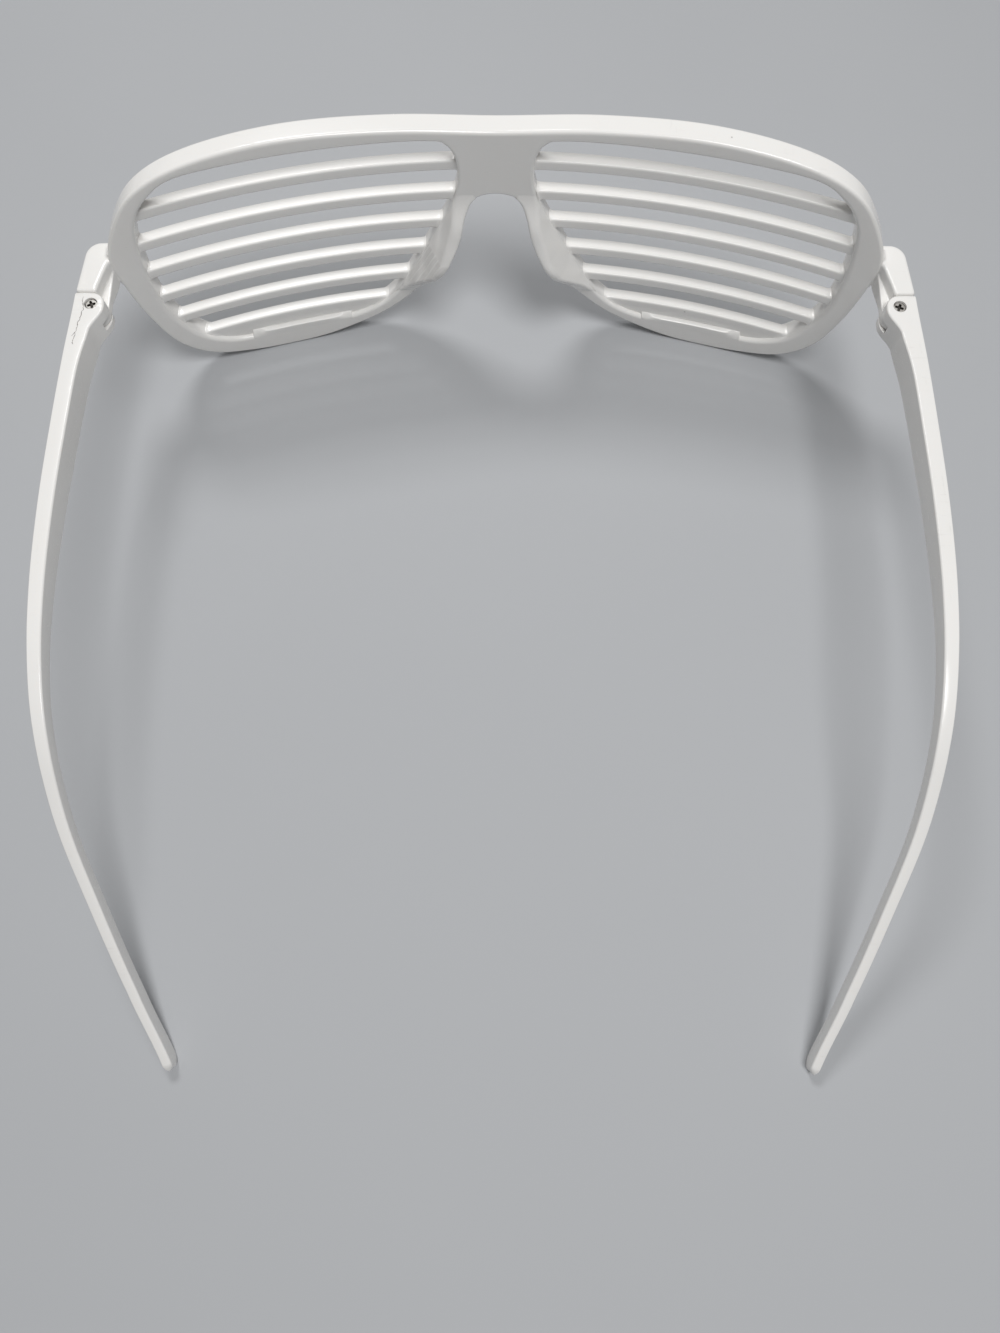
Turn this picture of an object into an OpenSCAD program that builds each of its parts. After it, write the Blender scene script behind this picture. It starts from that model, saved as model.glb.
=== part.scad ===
// Party glasses: white shutter shades with slatted fronts and two folding temples.
// Row frame: +Z up, the wearer looks along -Y, the temples run back along +Y, and
// the wearer's left is +X. The glasses stand on the lower rims and the temple tips.

/* [Front] */
// Width across the outer edges of the two rims
front_w = 139.2; // [130:0.2:146]
// Height of the front, from the lower rims to the top of the brow
front_h = 54.4; // [50:0.2:59]
// Depth of the rims and the brow, from front to back
front_t = 4.2; // [3.8:0.1:5]
// Radius of the front's wrap, seen from above
wrap_r = 178; // [165:1:220]

/* [Slats] */
// Height of one slat's back face
slat_h = 2.3; // [1.8:0.1:2.6]
// Depth of one slat, from front to back
slat_depth = 2.4; // [1.8:0.1:2.6]
// How far the slats' back faces lie in front of the rim's back face
slat_recess = 1; // [0.6:0.1:1.2]

/* [Nose pads] */
// How far the moulded pads stand out behind the rim
pad_depth = 5.6; // [4:0.2:7]

/* [Hinges] */
// Height of the end pieces and of the temples where they meet
hinge_h = 5.9; // [5.6:0.1:6.4]
// Height of the hinge's top above the lower rims
hinge_top = 37.4; // [36:0.2:38.4]
// Thickness of the temple's upper ear, which holds the screw's head
ear_t = 2.4; // [2.2:0.1:2.5]
// Thickness of the temple's lower ear
low_ear_t = 1.6; // [1.4:0.1:1.7]
// Radius of the rounded ears about the screw
knuckle_r = 2.3; // [2.1:0.1:2.4]
// Screw shank radius
shank_r = 0.7; // [0.5:0.05:0.8]
// Screw head radius
head_r = 1.15; // [1:0.05:1.3]

/* [Temples] */
// Depth from the front of the bridge to the temple tips
overall_depth = 156.8; // [146:0.2:166]
// Angle that the rear of each temple drops by
drop_angle = 30; // [25:1:34]
// Radius of the downward bend on the temple's top edge
bend_r = 50; // [35:5:70]
// Height of the temple tip, square to its slope
tip_h = 4.4; // [4:0.1:4.8]
// Thickness of a temple at the middle of its length
temple_t = 2.7; // [2.4:0.1:3.2]

/* [Hidden] */

plastic = "white";
steel = "silver";
// Facets of the large wrap cylinders, of small round parts and of each outline stretch
wrap_fn = 360;
round_fn = 48;
curve_steps = 5;
// Length added to a cutting shape so that it runs past the face it cuts
over = 1;
// Reach of the blanks that are cut to the wrap, behind the bridge
blank_y = 30;
half_w = front_w / 2;

// Outer outline of one half of the front, from the top of the brow over the outer
// side and the lower rim to the nose cut-out, as shares of half width and height
OUTLINE = [[0, 0.965], [0.26, 0.985], [0.53, 1], [0.75, 0.98], [0.876, 0.925],
    [0.948, 0.826], [0.996, 0.69], [0.993, 0.542], [0.975, 0.358], [0.937, 0.184],
    [0.862, 0.066], [0.754, 0.015], [0.632, 0], [0.51, 0.015], [0.374, 0.081],
    [0.28, 0.164], [0.204, 0.276], [0.145, 0.417], [0.1, 0.533], [0.08, 0.625],
    [0.052, 0.682], [0, 0.702]];
// Outline of the wearer's left lens opening in the same shares, closed on itself
OPENING = [[0.098, 0.79], [0.102, 0.858], [0.124, 0.914], [0.175, 0.934],
    [0.4, 0.938], [0.645, 0.939], [0.779, 0.934], [0.841, 0.897], [0.888, 0.833],
    [0.916, 0.735], [0.93, 0.57], [0.927, 0.404], [0.904, 0.279], [0.862, 0.175],
    [0.797, 0.112], [0.71, 0.092], [0.58, 0.09], [0.45, 0.103], [0.36, 0.145],
    [0.296, 0.221], [0.241, 0.34], [0.184, 0.478], [0.134, 0.607], [0.105, 0.717]];
// Shares of the height at which the rims meet the brow, outside and at the bridge
outer_joint = 0.846;
nose_joint = 0.735;
// Top of the first slat and the pitch of the slats, as shares of the height
first_slat = 0.836;
slat_pitch = 0.1318;
slats = 6;
// Ends of the crescent gap in the web under the last slat, as shares of the half width,
// how far its straight upper edge lies below the slat, and its height in the middle
gap_from = 0.452;
gap_to = 0.728;
gap_sink = 0.9;
gap_drop = 0.9;
// How far the web's raised part runs on past each end of the gap
gap_rim = 0.7;

// Heights between which the nose pads stand out
pad_top = 0.69 * front_h;
pad_foot = 0.225 * front_h;
// Side view of a nose pad, from its top to its foot, in shares of its depth and height
PAD_SIDE = [[-0.17, 1.02], [0, 1], [0.33, 0.93], [0.48, 0.86], [0.56, 0.77],
    [0.68, 0.66], [0.9, 0.54], [1, 0.46], [0.96, 0.41], [0.86, 0.34], [0.62, 0.26],
    [0.2, 0.11], [0, 0], [-0.17, 0]];
// The pad's side towards the lens: where it starts at the pad's foot, its lean towards
// the bridge, and the draft that thins the pad towards its rear edge
pad_wall = 0.283 * half_w;
pad_lean = 25.4;
pad_draft = 27;

// Hinge axis, and the seam between the end piece and the temple
hinge_x = half_w + 1.9;
hinge_y = rim_back(half_w) + 8.4;
seam_gap = 0.15;
seam_y = hinge_y - knuckle_r - seam_gap;
slide_gap = 0.1;
hinge_foot = hinge_top - hinge_h;
// The tongue fills the slot between the ears
tongue_top = hinge_top - ear_t - slide_gap;
tongue_foot = hinge_foot + low_ear_t + slide_gap;
tongue_r = knuckle_r - 0.1;
// Stretch behind the rim over which the tongue's heel is flat, before it slopes up
heel = 0.8;
slot_y = hinge_y + knuckle_r + 0.7;
// Straight stretch of the knuckle's inner side behind the screw
knuckle_run = 1;
// The slot's cut starts this far inside the rim's outer edge, and runs out outside
slot_reach = 4;
bore_gap = 0.05;
head_sink = 0.35;
head_t = 0.9;
seat_gap = 0.12;
recess_w = 0.42;
recess_t = 0.5;
// How far the shank's end stays inside the lower ear
screw_short = 0.4;
// End piece: its outer face, its block's width at the seam, the block's inner side at
// the rim, its front, and its round corner
outer_x = half_w + 5;
lug_w = 3.7;
lug_x = outer_x - lug_w;
lug_root = half_w - 0.2;
lug_y = rim_back(half_w) - front_t - 0.3;
corner_r = 4.2;
// The web between rim and block starts this far in
web_x = half_w - 2.2;
// Distance behind the rim at which the block's inner side starts to slope outwards
slope_y = rim_back(half_w) + 1.5;
// Step of the tongue inside the outer face
tongue_step = 0.5;

// Middle of the whole depth: every piece is moved so that it lies at Y = 0
mid_y = overall_depth / 2 - front_t;
tip_y = overall_depth - front_t;

// Outer edge of the left temple in plan, as distance behind the seam over the distance
// from the seam to the tip, and as distance outside the end piece's outer face
TEMPLE_BOW = [[0, 0], [0.1, 0.74], [0.2, 1.18], [0.3, 1.38], [0.4, 1.02], [0.5, -0.1],
    [0.6, -1.4], [0.7, -3.5], [0.8, -7.7], [0.9, -12.5], [1.02, -18.3]];
// Share of the temple's length over which its inner edge widens towards the hinge
taper = 0.05;
// Thickness of the temple along the same distance, as shares of temple_t
TEMPLE_THICK = [[0, 1.5], [0.06, 1.38], [0.075, 1.3], [0.09, 1.19], [0.12, 1.09],
    [0.18, 1.07], [0.37, 0.985], [0.5, 0.89], [0.62, 0.83], [0.85, 0.74], [1.02, 0.68]];
// Height of the temple along its top edge, in mm behind the seam
TEMPLE_HEIGHT = [[0, hinge_h], [7, hinge_h], [11, 1.07 * hinge_h],
    [16, 1.075 * hinge_h], [24, 1.02 * hinge_h], [34, 0.98 * hinge_h],
    [44, 0.9 * hinge_h], [54, 0.8 * hinge_h], [64, 0.68 * hinge_h],
    [75, 0.58 * hinge_h], [86, 0.545 * hinge_h]];

// Back face of the rims: distance behind the bridge's back at a given x
function rim_back(x) = wrap_r - sqrt(wrap_r * wrap_r - x * x);

// Point on a Catmull-Rom curve between b and c, at t from 0 to 1
function curve_at(a, b, c, d, t) =
    0.5 * (2 * b + (c - a) * t + (2 * a - 5 * b + 4 * c - d) * t * t
        + (3 * b - a - 3 * c + d) * t * t * t);

// Open curve through the given points
function open_curve(p) = concat(
    [for (i = [0 : len(p) - 2], k = [0 : curve_steps - 1])
        curve_at(p[max(i - 1, 0)], p[i], p[i + 1], p[min(i + 2, len(p) - 1)],
            k / curve_steps)],
    [p[len(p) - 1]]);

// Closed curve through the given points
function closed_curve(p) = let (n = len(p))
    [for (i = [0 : n - 1], k = [0 : curve_steps - 1])
        curve_at(p[(i + n - 1) % n], p[i], p[(i + 1) % n], p[(i + 2) % n],
            k / curve_steps)];

// Shares of the half width and the height as millimetres
function front_size(p) = [for (q = p) [q[0] * half_w, q[1] * front_h]];

// The same points in the other order, without the two ends, and on the other side
function reversed(p) = [for (i = [len(p) - 1 : -1 : 0]) p[i]];
function inner_points(p) = [for (i = [1 : len(p) - 2]) p[i]];
function flipped(p) = [for (q = p) [-q[0], q[1]]];

// A flat shape drawn in x and z, taken through the depth of the front
module through_front() {
    translate([0, blank_y, 0])
        rotate([90, 0, 0])
            linear_extrude(height = blank_y + front_t + over)
                children();
}

// Wall that follows the wrap, between two distances in front of the rim's back face
module wrap_wall(back, front) {
    translate([0, wrap_r, -over])
        difference() {
            cylinder(r = wrap_r + front, h = front_h + 2 * over, $fn = wrap_fn);
            translate([0, 0, -over])
                cylinder(r = wrap_r + back, h = front_h + 4 * over, $fn = wrap_fn);
        }
}

// All that lies behind the rims' back face
module behind_rims() {
    translate([0, wrap_r, -over])
        cylinder(r = wrap_r, h = front_h + 2 * over, $fn = wrap_fn);
}

module opening_shape() {
    polygon(front_size(closed_curve(OPENING)));
}

// The whole front in front view, without its slats
module front_shape() {
    half = front_size(OUTLINE);
    difference() {
        polygon(closed_curve(concat(half, flipped(reversed(inner_points(half))))));
        opening_shape();
        mirror([1, 0])
            opening_shape();
    }
}

// Part of the front view that belongs to the brow and the bridge
module brow_area() {
    translate([-front_w, outer_joint * front_h])
        square([2 * front_w, front_h]);
    translate([-0.2 * half_w, nose_joint * front_h])
        square([0.4 * half_w, front_h]);
}

module brow_and_bridge() {
    color(plastic)
        intersection() {
            through_front()
                intersection() {
                    front_shape();
                    brow_area();
                }
            wrap_wall(0, front_t);
        }
}

// Side view of the web that joins a rim to its end piece, in x and z
module web_area() {
    translate([web_x, hinge_foot])
        square([half_w, hinge_h]);
}

module rim() {
    color(plastic)
        intersection() {
            through_front()
                difference() {
                    intersection() {
                        front_shape();
                        square([front_w, front_h]);
                    }
                    brow_area();
                    web_area();
                }
            wrap_wall(0, front_t);
        }
}

function slat_top(i) = (first_slat - (i - 1) * slat_pitch) * front_h;

// One slat: its ends meet the inner wall of the lens opening
module slat(i) {
    color(plastic)
        intersection() {
            through_front()
                intersection() {
                    opening_shape();
                    translate([0, slat_top(i) - slat_h])
                        square([front_w, slat_h]);
                }
            wrap_wall(slat_recess, slat_recess + slat_depth);
        }
}

// Height of the crescent gap's straight upper edge
function gap_top() = slat_top(slats) - slat_h - gap_sink;

// Front view of what closes the opening under the last slat, with the crescent gap
module web_shape() {
    span = (gap_to - gap_from) * half_w;
    // Radius of the crescent's lower edge, from its span and its drop
    gap_r = span * span / (8 * gap_drop) + gap_drop / 2;
    difference() {
        intersection() {
            opening_shape();
            square([front_w, gap_top() + gap_sink]);
        }
        intersection() {
            translate([(gap_from + gap_to) / 2 * half_w, gap_top() - gap_drop + gap_r])
                circle(r = gap_r, $fn = wrap_fn);
            square([front_w, gap_top()]);
        }
    }
}

// Web under the last slat, flush with the rim's back below the gap
module lower_web() {
    color(plastic)
        union() {
            intersection() {
                through_front()
                    web_shape();
                wrap_wall(slat_recess, slat_recess + slat_depth);
            }
            intersection() {
                through_front()
                    intersection() {
                        web_shape();
                        translate([gap_from * half_w - gap_rim, 0])
                            square([(gap_to - gap_from) * half_w + 2 * gap_rim,
                                gap_top()]);
                    }
                wrap_wall(0, slat_recess + slat_depth);
            }
        }
}

// What the draft takes off the pad's side towards the lens
module pad_relief() {
    translate([pad_wall, rim_back(pad_wall), pad_foot])
        rotate([0, -pad_lean, 0])
            rotate([0, 0, pad_draft])
                translate([0, -front_t, -front_h])
                    cube([front_w, blank_y, 2 * front_h]);
}

// Moulded fin that stands out behind the nose side of the rim
module nose_pad() {
    shares = open_curve(PAD_SIDE);
    back = [for (q = shares) [q[0] * pad_depth, pad_foot + q[1] * (pad_top - pad_foot)]];
    color(plastic)
        difference() {
            intersection() {
                through_front()
                    intersection() {
                        front_shape();
                        square([0.3 * half_w, front_h]);
                    }
                behind_rims();
                translate([0, rim_back(0.15 * half_w), 0])
                    rotate([90, 0, 90])
                        linear_extrude(height = half_w)
                            polygon(back);
            }
            pad_relief();
        }
}

// Plan of the end piece: a block that runs back from the rim's outer side
module lug_plan() {
    intersection() {
        polygon([[lug_root, lug_y], [outer_x, lug_y], [outer_x, seam_y], [lug_x, seam_y],
            [lug_root, slope_y]]);
        union() {
            translate([outer_x - corner_r, lug_y + corner_r])
                circle(r = corner_r, $fn = round_fn);
            translate([0, lug_y + corner_r])
                square([outer_x, blank_y]);
            square([outer_x - corner_r, blank_y]);
        }
    }
}

// Plan of the web: the rim's own wall, carried on outwards into the block
module web_plan() {
    intersection() {
        translate([0, wrap_r])
            difference() {
                circle(r = wrap_r + front_t, $fn = wrap_fn);
                circle(r = wrap_r, $fn = wrap_fn);
            }
        translate([web_x, 0])
            square([lug_x + over - web_x, blank_y]);
    }
}

// Plan of the tongue, with its end rounded about the screw
module tongue_plan() {
    front_y = rim_back(half_w) - over;
    back_x = outer_x - tongue_step;
    translate([hinge_x - tongue_r, front_y])
        square([back_x - hinge_x + tongue_r, hinge_y - front_y]);
    translate([hinge_x, hinge_y])
        circle(r = tongue_r, $fn = round_fn);
    translate([hinge_x, hinge_y - over])
        square([back_x - hinge_x, tongue_r + over]);
}

// Heel under the tongue, which slopes up from the web's foot to the seam
module tongue_heel() {
    rim_y = rim_back(half_w);
    translate([hinge_x - tongue_r, 0, 0])
        rotate([90, 0, 90])
            linear_extrude(height = lug_x - hinge_x + tongue_r + over / 2)
                polygon([[rim_y - over, hinge_foot], [rim_y + heel, hinge_foot],
                    [seam_y, tongue_foot], [seam_y, tongue_foot + over / 2],
                    [rim_y - over, tongue_foot + over / 2]]);
}

module end_piece() {
    color(plastic)
        difference() {
            union() {
                translate([0, 0, hinge_foot])
                    linear_extrude(height = hinge_h)
                        union() {
                            lug_plan();
                            web_plan();
                        }
                translate([0, 0, tongue_foot])
                    linear_extrude(height = tongue_top - tongue_foot)
                        tongue_plan();
                tongue_heel();
            }
            translate([hinge_x, hinge_y, hinge_foot - over])
                cylinder(r = shank_r + bore_gap, h = hinge_h + 2 * over, $fn = round_fn);
        }
}

// Length of a temple behind the seam
function temple_run() = tip_y - seam_y - seam_gap;
function bow_points() = [for (q = TEMPLE_BOW)
    [outer_x + q[1], seam_y + seam_gap + q[0] * temple_run()]];

// Plan of the temple: its bowed outer edge, and the inner edge one thickness inside
module temple_plan() {
    outer = open_curve(bow_points());
    start = seam_y + seam_gap;
    // The inner edge widens to the hinge end, which is round about the screw
    inner = [for (q = outer) if (q[1] > start + taper * temple_run())
        [q[0] - temple_t * lookup((q[1] - start) / temple_run(), TEMPLE_THICK), q[1]]];
    polygon(concat(outer, reversed(inner),
        [[hinge_x - knuckle_r, hinge_y + knuckle_run], [hinge_x - knuckle_r, hinge_y],
            [hinge_x, hinge_y], [hinge_x, start]]));
    translate([hinge_x, hinge_y])
        circle(r = knuckle_r, $fn = round_fn);
}

// Side view of the temple in y and z: flat top edge, bend, and a straight drop to a
// round tip that touches the ground
module temple_side() {
    start = seam_y + seam_gap;
    tip_r = tip_h / 2;
    tip_top = [tip_y - tip_r + tip_r * sin(drop_angle), tip_r + tip_r * cos(drop_angle)];
    kink_y = tip_top[0] - (hinge_top - tip_top[1]) / tan(drop_angle);
    bend_y = kink_y - bend_r * tan(drop_angle / 2);
    arc = bend_r * drop_angle * PI / 180;
    slope = norm([tip_top[0], tip_top[1]] - [bend_y + bend_r * sin(drop_angle),
        hinge_top - bend_r * (1 - cos(drop_angle))]);
    // Each station holds a point of the top edge, the edge's angle, and its distance
    flat = [for (y = [start : 3 : bend_y]) [[y, hinge_top], 0, y - start]];
    bend = [for (k = [0 : 10]) let (a = drop_angle * k / 10)
        [[bend_y + bend_r * sin(a), hinge_top - bend_r * (1 - cos(a))], a,
            bend_y - start + arc * k / 10]];
    last = [for (k = [1 : 6]) let (s = slope * k / 6)
        [bend[10][0] + s * [cos(drop_angle), -sin(drop_angle)], drop_angle,
            bend_y - start + arc + s]];
    stations = concat(flat, bend, last);
    full = bend_y - start + arc + slope;
    // The height runs from the table to the tip's own height over the last stretch
    function height_at(s) = s < full - slope ? lookup(s, TEMPLE_HEIGHT)
        : lookup(s, [[full - slope, lookup(full - slope, TEMPLE_HEIGHT)],
            [full, tip_h]]);
    under = [for (q = stations)
        q[0] - height_at(q[2]) * [sin(q[1]), cos(q[1])]];
    tip = [for (k = [1 : 11]) let (a = 90 - drop_angle - 180 * k / 12)
        [tip_y - tip_r + tip_r * cos(a), tip_r + tip_r * sin(a)]];
    polygon(concat([for (q = stations) q[0]], tip, reversed(under)));
}

module temple() {
    start = seam_y + seam_gap;
    color(plastic)
        difference() {
            intersection() {
                linear_extrude(height = front_h)
                    temple_plan();
                rotate([90, 0, 90])
                    linear_extrude(height = front_w)
                        temple_side();
            }
            // Slot for the end piece's tongue
            translate([half_w - slot_reach, start - over, tongue_foot - slide_gap])
                cube([3 * slot_reach, slot_y - start + over,
                    tongue_top - tongue_foot + 2 * slide_gap]);
            // Screw hole, wider in the upper ear, and the sunk seat of its head
            translate([hinge_x, hinge_y, hinge_foot - over])
                cylinder(r = shank_r, h = hinge_h + 2 * over, $fn = round_fn);
            translate([hinge_x, hinge_y, tongue_top])
                cylinder(r = shank_r + bore_gap, h = hinge_h, $fn = round_fn);
            translate([hinge_x, hinge_y, hinge_top - head_sink - head_t])
                cylinder(r = head_r + seat_gap, h = hinge_h, $fn = round_fn);
        }
}

// Steel screw that holds the hinge, with a cross recess in its sunk head
module hinge_screw() {
    head_z = hinge_top - head_sink;
    foot_z = hinge_foot + screw_short;
    color(steel)
        difference() {
            union() {
                translate([hinge_x, hinge_y, foot_z])
                    cylinder(r = shank_r, h = head_z - foot_z - head_t / 2,
                        $fn = round_fn);
                translate([hinge_x, hinge_y, head_z - head_t])
                    cylinder(r = head_r, h = head_t, $fn = round_fn);
            }
            for (turn = [0, 90])
                translate([hinge_x, hinge_y, head_z - recess_t])
                    rotate([0, 0, turn + 20])
                        translate([-0.7 * head_r, -recess_w / 2, 0])
                            cube([1.4 * head_r, recess_w, recess_t + over]);
        }
}

// Places a piece of the wearer's left side, or its mirror image on the right
module on_left() {
    translate([0, -mid_y, 0])
        children();
}

module on_right() {
    translate([0, -mid_y, 0])
        mirror([1, 0, 0])
            children();
}

on_left() brow_and_bridge();
on_left() rim();  // left_rim
on_right() rim();  // right_rim
on_left() slat(1);  // left_slat_1
on_left() slat(2);  // left_slat_2
on_left() slat(3);  // left_slat_3
on_left() slat(4);  // left_slat_4
on_left() slat(5);  // left_slat_5
on_left() slat(6);  // left_slat_6
on_right() slat(1);  // right_slat_1
on_right() slat(2);  // right_slat_2
on_right() slat(3);  // right_slat_3
on_right() slat(4);  // right_slat_4
on_right() slat(5);  // right_slat_5
on_right() slat(6);  // right_slat_6
on_left() lower_web();  // left_lower_web
on_right() lower_web();  // right_lower_web
on_left() nose_pad();  // left_nose_pad
on_right() nose_pad();  // right_nose_pad
on_left() end_piece();  // left_end_piece
on_right() end_piece();  // right_end_piece
on_left() temple();  // left_temple
on_right() temple();  // right_temple
on_left() hinge_screw();  // left_hinge_screw
on_right() hinge_screw();  // right_hinge_screw
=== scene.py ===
"""Party glasses: white shutter shades, dressed for the camera.

Up to the floor, light and camera, lengths are in millimetres, in the frame of the
glasses' own drawing: x runs to the wearer's left, z up from the lower rims, and y back
from the bridge's rear face. seat() turns such a point into metres in the shared frame.
"""

from math import asin, cos, degrees, floor, hypot, pi, radians, sin, sqrt, tan

import bmesh
import bpy
from mathutils import Matrix, Vector


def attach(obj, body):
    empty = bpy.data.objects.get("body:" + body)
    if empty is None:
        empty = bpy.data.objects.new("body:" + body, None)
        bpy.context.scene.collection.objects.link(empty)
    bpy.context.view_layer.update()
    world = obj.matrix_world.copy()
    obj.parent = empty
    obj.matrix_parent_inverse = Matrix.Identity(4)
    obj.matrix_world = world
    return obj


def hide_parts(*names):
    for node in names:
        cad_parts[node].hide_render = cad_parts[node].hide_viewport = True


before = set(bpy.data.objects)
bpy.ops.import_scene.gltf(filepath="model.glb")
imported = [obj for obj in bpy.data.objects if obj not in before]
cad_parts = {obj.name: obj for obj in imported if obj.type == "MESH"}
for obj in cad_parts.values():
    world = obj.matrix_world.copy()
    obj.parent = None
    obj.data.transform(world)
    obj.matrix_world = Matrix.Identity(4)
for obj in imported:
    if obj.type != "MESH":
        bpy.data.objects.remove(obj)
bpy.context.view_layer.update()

MM = 0.001
# Vertices nearer to each other than this are one
WELD = 0.002 * MM
MIRROR_WELD = 0.003 * MM
# Places nearer to each other than this, in millimetres, count as the same
CLOSE = 0.01

# The front, as the solids have it
HALF_W = 69.6
FRONT_H = 54.4
FRONT_T = 4.2
WRAP_R = 178
SLAT_H = 2.3
SLAT_DEPTH = 2.4
SLAT_RECESS = 1
SLAT_EDGE = 0.45
SLAT_STATIONS = 30
# Distance of a slat's end stations from the rim's wall, and how far it flares there
SLAT_FLARE = [(-0.9, 1.2), (0, 1.16), (0.15, 1.08), (0.35, 1.03), (0.6, 1.01), (1, 1)]
# Top of the first slat and distance between slats, as shares of the front's height
FIRST_SLAT = 0.836
SLAT_PITCH = 0.1318
SLATS = 6
# Half of the front's outline from the brow's middle to the arch over the nose, and the
# opening on that side, as shares of half the width and of the height
OUTLINE = [(0, 0.965), (0.26, 0.985), (0.53, 1), (0.75, 0.98), (0.876, 0.925),
           (0.948, 0.826), (0.996, 0.69), (0.993, 0.542), (0.975, 0.358),
           (0.937, 0.184), (0.862, 0.066), (0.754, 0.015), (0.632, 0), (0.51, 0.015),
           (0.374, 0.081), (0.28, 0.164), (0.204, 0.276), (0.145, 0.417), (0.1, 0.533),
           (0.08, 0.625), (0.052, 0.682), (0, 0.702)]
OPENING = [(0.098, 0.79), (0.102, 0.858), (0.124, 0.914), (0.175, 0.934), (0.4, 0.938),
           (0.645, 0.939), (0.779, 0.934), (0.841, 0.897), (0.888, 0.833),
           (0.916, 0.735), (0.93, 0.57), (0.927, 0.404), (0.904, 0.279),
           (0.862, 0.175), (0.797, 0.112), (0.71, 0.092), (0.58, 0.09), (0.45, 0.103),
           (0.36, 0.145), (0.296, 0.221), (0.241, 0.34), (0.184, 0.478),
           (0.134, 0.607), (0.105, 0.717)]
# Place along the opening that faces each point of the outline, and the bridge's middle
FACING = [2.3, 3.4, 4.5, 5.8, 7.3, 8.3, 9.3, 10.15, 11.4, 12.8, 13.7, 14.6, 15.6, 16.6,
          17.7, 18.8, 19.8, 20.8, 21.6, 22.3, 22.9, 23.5, 26.3]
# Steps between two points of a curve: for the moulding, and where only its place counts
OUTLINE_STEPS = 8
FINE_STEPS = 16
# First point of the outline that belongs to the nose's side
NOSE_START = 15
FRONT_EDGE = 0.7
# The bridge's plain face: its steps, half width, and a height below it
BRIDGE_STEPS = 10
BRIDGE_HALF = 6.5
BRIDGE_FOOT = 0.68 * FRONT_H
# Number of upright cuts over the front
STRIPS = 84
# How far the web under the last slat runs into the rim, sideways and down
WEB_BITE = 0.5
WEB_FOOT_BITE = 0.7
# The crescent gap in that web: its ends, its distance under the slat, its height, and
# how far its cutter reaches to both sides
GAP_FROM = 0.452 * HALF_W
GAP_TO = 0.728 * HALF_W
GAP_SINK = 0.9
GAP_DROP = 0.16
GAP_THROUGH = 10
# The ledge under the gap: how far it outruns it, its least height, the hair that it
# stays under the rim's rear face, and its rounded edge
LEDGE_END_RUN = 0.7
LEDGE_H = 1.4
LEDGE_SINK = 0.02
LEDGE_EDGE = 0.12
# Length over which the ledge under the gap narrows at each of its ends, the share of
# its depth that is left there, and how far its rear edge lies below its inner one
LEDGE_TAPER = 4
LEDGE_END = 0.26
LEDGE_FALL = 0.42
# A nose pad: how far it stands out behind the rim, and its two ends in height
PAD_DEPTH = 5.6
PAD_TOP = 0.69 * FRONT_H
PAD_FOOT = 0.225 * FRONT_H
PAD_ROWS = 72
# Where a pad's sections start, and what they span, as shares of its height
PAD_FROM = -0.02
PAD_SPAN = 1.08
# How far a pad is rooted in the rim, and the hair that it stays inside the rim's sides
PAD_ROOT = 1.6
PAD_INSET = 0.03
# Least width of a pad's ridge, and the radius of its edges
PAD_RIDGE = 1.8
PAD_EDGE = 0.9
PAD_ROOT_EDGE = 0.1
# Where a pad's wall leaves the rim, below its rear face, and the radius there
PAD_WALL_SINK = 0.5
PAD_WALL_EDGE = 0.3
# How far a pad stands out, against the share of its height
PAD_SIDE = [(-0.08, -0.17), (0, 0), (0.11, 0.2), (0.26, 0.62), (0.34, 0.86), (0.41, 0.96),
            (0.46, 1), (0.54, 0.9), (0.66, 0.68), (0.77, 0.54), (0.82, 0.42), (0.86, 0.3),
            (0.9, 0.19), (0.94, 0.1), (0.98, 0.04), (1.02, 0), (1.08, -0.03)]
PAD_SIDE_SOFT = 0.08
# Nearest that a pad comes to the middle of the bridge
PAD_REACH = 3.4
# Angle, in degrees, by which a pad gets thinner as it stands out
PAD_DRAFT = 27


def rim_back(x):
    """How far the wrap carries the rim's rear face back at x."""
    return WRAP_R - sqrt(WRAP_R * WRAP_R - x * x)


# The hinges and temples
HINGE_H = 5.9
HINGE_TOP = 37.4
HINGE_FOOT = HINGE_TOP - HINGE_H
EAR_T = 2.4
LOW_EAR_T = 1.6
KNUCKLE_R = 2.3
SHANK_R = 0.7
SHANK_EDGE = 0.12
SHANK_CLEAR = 0.4
HEAD_R = 1.08
HEAD_SINK = 0.35
HEAD_T = 0.9
HEAD_Z = HINGE_TOP - HEAD_SINK
HEAD_EDGE = 0.16
SEAT_GAP = 0.08
# One bar of the cross in the screw's head about its middle, and how it is turned
CROSS_BAR = [(0.78, 0.14), (0.62, 0.26), (-0.62, 0.26), (-0.78, 0.14),
             (-0.78, -0.14), (-0.62, -0.26), (0.62, -0.26), (0.78, -0.14)]
CROSS_TURNS = (20, 110)
CROSS_DEPTH = 0.5
# How far a cutter reaches past what it cuts
PAST = 1
HINGE_X = HALF_W + 1.9
HINGE_Y = rim_back(HALF_W) + 8.4
SEAM_GAP = 0.15
SEAM_Y = HINGE_Y - KNUCKLE_R - SEAM_GAP
# Clearance over and under the tongue, and behind it
SLIDE_GAP = 0.1
SLOT_GAP = 0.3
TONGUE_TOP = HINGE_TOP - EAR_T - SLIDE_GAP
TONGUE_FOOT = HINGE_FOOT + LOW_EAR_T + SLIDE_GAP
TONGUE_R = KNUCKLE_R - 0.1
# How far the tongue and its heel are rooted in the rim, and the tongue's distance from
# the end piece's outer side
TONGUE_ROOT = 1.2
TONGUE_INSET = 0.5
# The heel under the tongue: its level part, its height, and its bite into the block
HEEL_LEVEL = 0.8
HEEL_H = 0.6
HEEL_BITE = 0.5
# The end piece in plan: its outer and inner sides, its root in the rim, and its front
OUTER_X = HALF_W + 5
LUG_X = OUTER_X - 3.7
LUG_ROOT = HALF_W - 0.2
LUG_BITE = 1.2
LUG_Y = rim_back(HALF_W) - FRONT_T - 0.3
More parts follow.
